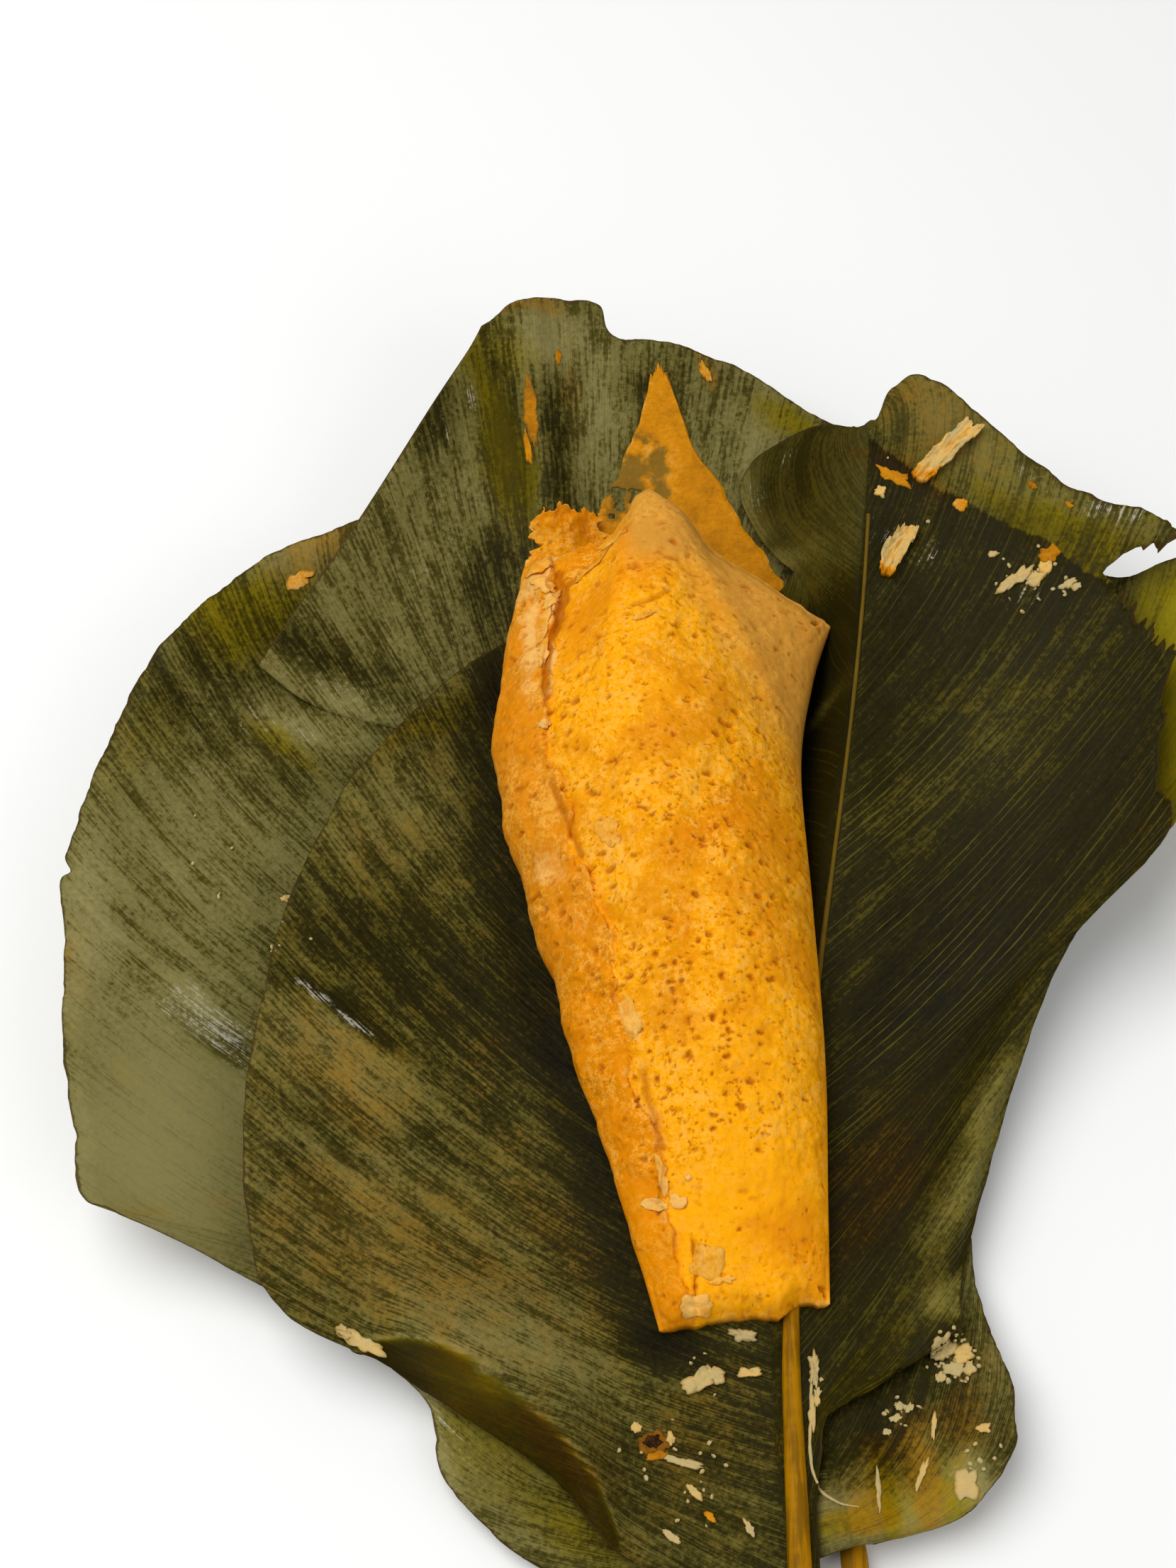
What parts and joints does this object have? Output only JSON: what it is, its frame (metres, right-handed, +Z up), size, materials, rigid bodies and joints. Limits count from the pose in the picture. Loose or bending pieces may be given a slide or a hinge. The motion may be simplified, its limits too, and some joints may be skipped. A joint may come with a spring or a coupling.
{
  "type": "moi moi",
  "caption": "Steamed bean pudding, a tapered soft block, lying on the broad leaves it was wrapped and steamed in, opened out as a shallow dish with their stalks.",
  "frame": {"origin": "bottom centre of the whole spread, on the surface it lies on", "axes": "+Z up; +Y from the pudding's thin end and the leaf stalks towards its thick end; +X to the right when the thin end is nearest"},
  "size_m": [0.2009, 0.2635, 0.0434],
  "materials": {
    "pudding": "moist, porous",
    "inner_leaf": "satin, ribbed",
    "back_leaf": "waxy satin",
    "outer_leaf": "waxy satin",
    "stuck_skin": "moist",
    "torn_flap": "moist, ragged",
    "residue": "crumbly"
  },
  "bodies": {
    "root": {"pudding": "pudding", "inner_leaf": "inner_leaf", "back_leaf": "back_leaf", "outer_leaf": "outer_leaf", "stuck_skin": "stuck_skin", "torn_flap": "torn_flap", "residue_strip": "residue", "residue_scrap": "residue"}
  },
  "joints": []
}
